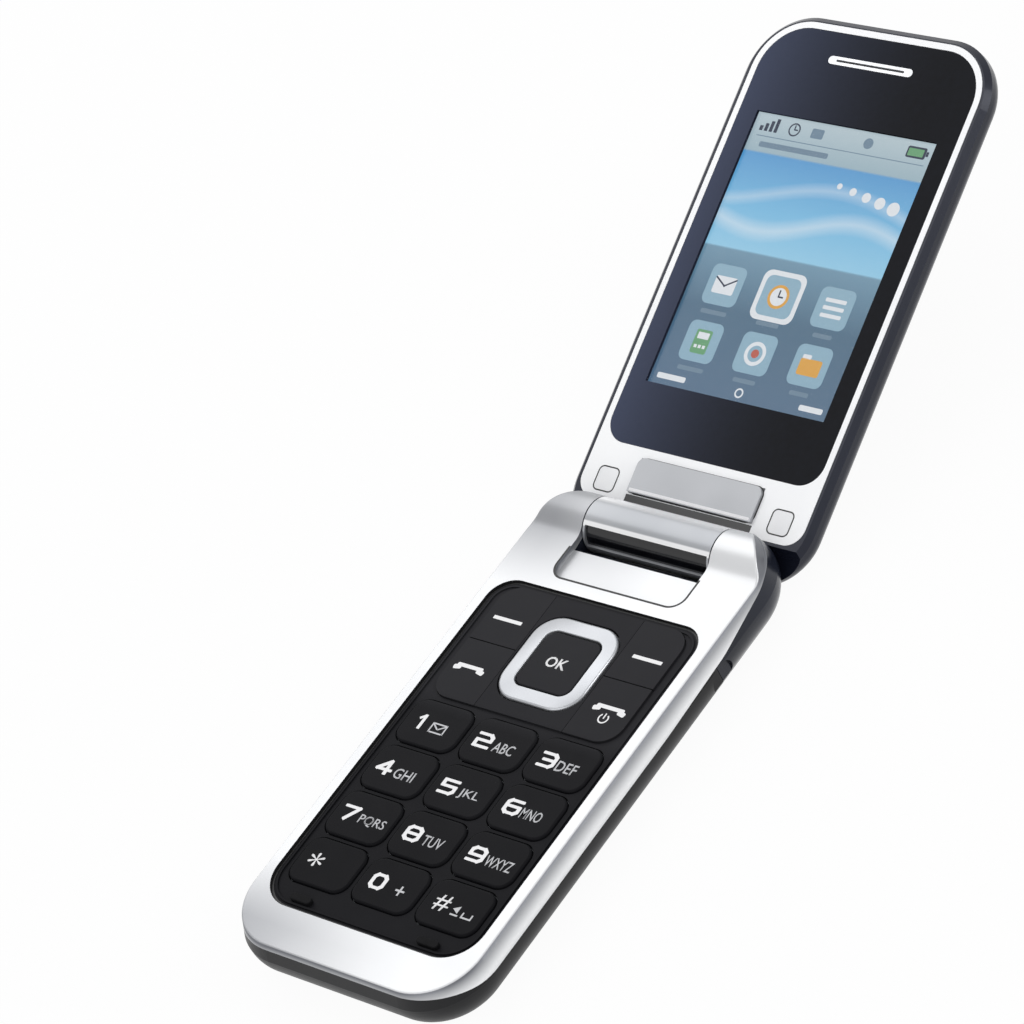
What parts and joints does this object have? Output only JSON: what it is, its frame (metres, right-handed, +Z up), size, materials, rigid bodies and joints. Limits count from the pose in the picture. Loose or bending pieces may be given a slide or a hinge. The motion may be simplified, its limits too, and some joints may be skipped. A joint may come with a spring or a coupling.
{
  "type": "flip phone",
  "caption": "Open clamshell phone: keypad base on its flat underside, display lid on a friction hinge, pressing keys, tilting navigation ring, lift-off battery cover.",
  "frame": {"origin": "middle of the base's flat underside, half way along the base and half way across it", "axes": "+X across the phone, to the right for someone who types on it; +Y along the base from its free end to the hinge and on to the open lid; +Z up out of the keypad"},
  "size_m": [0.0518, 0.1896, 0.0403],
  "materials": {
    "silver_frame": "silver paint",
    "blue_housing": "gloss, blue grey",
    "dark_cover": "soft matt",
    "silver_key": "silver paint",
    "key_web": "satin",
    "key_caps": "satin, printed legends",
    "nav_silver": "metallised",
    "nav_carrier": "matt",
    "bumper_rubber": "soft",
    "silicone": "translucent",
    "dome_steel": "bare",
    "board": "solder mask",
    "can_steel": "tinned",
    "card_plastic": "matt",
    "socket_metal": "plated",
    "speaker_body": "matt",
    "battery_can": "foil with a plain label",
    "contact_block": "black with gold springs",
    "antenna_brass": "plated carrier",
    "screw_steel": "bare",
    "shaft_steel": "ground",
    "cam_body": "moulded",
    "barrel_dark": "satin",
    "sleeve_silver": "metallised",
    "plate_silver": "silver grey",
    "navy_cover": "navy, satin",
    "inner_silver": "silver",
    "window_glass": "clear with a dark border",
    "display": "lit",
    "backlight": "white",
    "flex_film": "film",
    "grille_dark": "satin",
    "ring_chrome": "polished",
    "camera_glass": "smoked",
    "camera_body": "matt",
    "plug_rubber": "soft"
  },
  "bodies": {
    "base": {"front_frame": "silver_frame", "rear_housing": "blue_housing", "keypad_bezel": "key_web", "keypad_membrane": "silicone", "dome_sheet": "dome_steel", "main_board": "board", "shield_can": "can_steel", "sim_socket": "can_steel", "sim_card": "card_plastic", "usb_socket": "socket_metal", "loudspeaker": "speaker_body", "vibration_motor": "can_steel", "microphone": "can_steel", "battery": "battery_can", "battery_contacts": "contact_block", "antenna": "antenna_brass", "base_screws": "screw_steel", "keypad_bumpers": "bumper_rubber", "hinge_pin": "shaft_steel", "hinge_cam_shaft": "shaft_steel"},
    "lid": {"lid_cover": "navy_cover", "lid_inner_frame": "inner_silver", "display_window": "window_glass", "display_panel": "display", "backlight_unit": "backlight", "lid_board": "board", "lid_flex": "flex_film", "earpiece_grille": "grille_dark", "earpiece_speaker": "speaker_body", "camera_ring": "ring_chrome", "camera_window": "camera_glass", "camera_module": "camera_body", "hinge_knuckle": "barrel_dark", "hinge_sleeve": "sleeve_silver", "hinge_plate": "plate_silver", "hinge_cam_module": "cam_body", "screw_plugs": "plug_rubber", "lid_screws": "screw_steel"},
    "key_1": {"key_1": "key_caps"},
    "key_2": {"key_2": "key_caps"},
    "key_3": {"key_3": "key_caps"},
    "key_4": {"key_4": "key_caps"},
    "key_5": {"key_5": "key_caps"},
    "key_6": {"key_6": "key_caps"},
    "key_7": {"key_7": "key_caps"},
    "key_8": {"key_8": "key_caps"},
    "key_9": {"key_9": "key_caps"},
    "key_star": {"key_star": "key_caps"},
    "key_0": {"key_0": "key_caps"},
    "key_hash": {"key_hash": "key_caps"},
    "key_soft_left": {"key_soft_left": "key_caps"},
    "key_soft_right": {"key_soft_right": "key_caps"},
    "key_call": {"key_call": "key_caps"},
    "key_end": {"key_end": "key_caps"},
    "key_ok": {"key_ok": "key_caps"},
    "nav_rocker": {"nav_rocker": "nav_carrier"},
    "nav_ring": {"nav_ring": "nav_silver"},
    "battery_cover": {"battery_cover": "dark_cover"},
    "volume_key": {"volume_key": "silver_key"}
  },
  "joints": [
    {"name": "lid_hinge", "type": "hinge", "parent": "base", "child": "lid", "pos_m": [0, 0.04615, 0.0077], "axis": [1, 0, 0], "range_deg": [0, 158.5]},
    {"name": "key_1_press", "type": "slide", "parent": "base", "child": "key_1", "axis": [0, 0, -1], "range_m": [0, 0.0003], "stiffness_N_per_m": 2000},
    {"name": "key_2_press", "type": "slide", "parent": "base", "child": "key_2", "axis": [0, 0, -1], "range_m": [0, 0.0003], "stiffness_N_per_m": 2000},
    {"name": "key_3_press", "type": "slide", "parent": "base", "child": "key_3", "axis": [0, 0, -1], "range_m": [0, 0.0003], "stiffness_N_per_m": 2000},
    {"name": "key_4_press", "type": "slide", "parent": "base", "child": "key_4", "axis": [0, 0, -1], "range_m": [0, 0.0003], "stiffness_N_per_m": 2000},
    {"name": "key_5_press", "type": "slide", "parent": "base", "child": "key_5", "axis": [0, 0, -1], "range_m": [0, 0.0003], "stiffness_N_per_m": 2000},
    {"name": "key_6_press", "type": "slide", "parent": "base", "child": "key_6", "axis": [0, 0, -1], "range_m": [0, 0.0003], "stiffness_N_per_m": 2000},
    {"name": "key_7_press", "type": "slide", "parent": "base", "child": "key_7", "axis": [0, 0, -1], "range_m": [0, 0.0003], "stiffness_N_per_m": 2000},
    {"name": "key_8_press", "type": "slide", "parent": "base", "child": "key_8", "axis": [0, 0, -1], "range_m": [0, 0.0003], "stiffness_N_per_m": 2000},
    {"name": "key_9_press", "type": "slide", "parent": "base", "child": "key_9", "axis": [0, 0, -1], "range_m": [0, 0.0003], "stiffness_N_per_m": 2000},
    {"name": "key_star_press", "type": "slide", "parent": "base", "child": "key_star", "axis": [0, 0, -1], "range_m": [0, 0.0003], "stiffness_N_per_m": 2000},
    {"name": "key_0_press", "type": "slide", "parent": "base", "child": "key_0", "axis": [0, 0, -1], "range_m": [0, 0.0003], "stiffness_N_per_m": 2000},
    {"name": "key_hash_press", "type": "slide", "parent": "base", "child": "key_hash", "axis": [0, 0, -1], "range_m": [0, 0.0003], "stiffness_N_per_m": 2000},
    {"name": "key_soft_left_press", "type": "slide", "parent": "base", "child": "key_soft_left", "axis": [0, 0, -1], "range_m": [0, 0.0003], "stiffness_N_per_m": 2000},
    {"name": "key_soft_right_press", "type": "slide", "parent": "base", "child": "key_soft_right", "axis": [0, 0, -1], "range_m": [0, 0.0003], "stiffness_N_per_m": 2000},
    {"name": "key_call_press", "type": "slide", "parent": "base", "child": "key_call", "axis": [0, 0, -1], "range_m": [0, 0.0003], "stiffness_N_per_m": 2000},
    {"name": "key_end_press", "type": "slide", "parent": "base", "child": "key_end", "axis": [0, 0, -1], "range_m": [0, 0.0003], "stiffness_N_per_m": 2000},
    {"name": "key_ok_press", "type": "slide", "parent": "base", "child": "key_ok", "axis": [0, 0, -1], "range_m": [0, 0.0003], "stiffness_N_per_m": 2000},
    {"name": "nav_tilt_up_down", "type": "hinge", "parent": "base", "child": "nav_rocker", "pos_m": [0, 0.0159, 0.0093], "axis": [1, 0, 0], "range_deg": [-1, 1], "stiffness_Nm_per_rad": 0.4},
    {"name": "nav_tilt_left_right", "type": "hinge", "parent": "nav_rocker", "child": "nav_ring", "pos_m": [0, 0.0159, 0.0093], "axis": [0, 1, 0], "range_deg": [-1, 1], "stiffness_Nm_per_rad": 0.4},
    {"name": "battery_cover_lift", "type": "slide", "parent": "base", "child": "battery_cover", "axis": [0, 0, -1], "range_m": [0, 0.012]},
    {"name": "volume_rock", "type": "hinge", "parent": "base", "child": "volume_key", "pos_m": [-0.0248, 0.005, 0.0082], "axis": [0, 0, 1], "range_deg": [-1.2, 1.2], "stiffness_Nm_per_rad": 0.3}
  ]
}
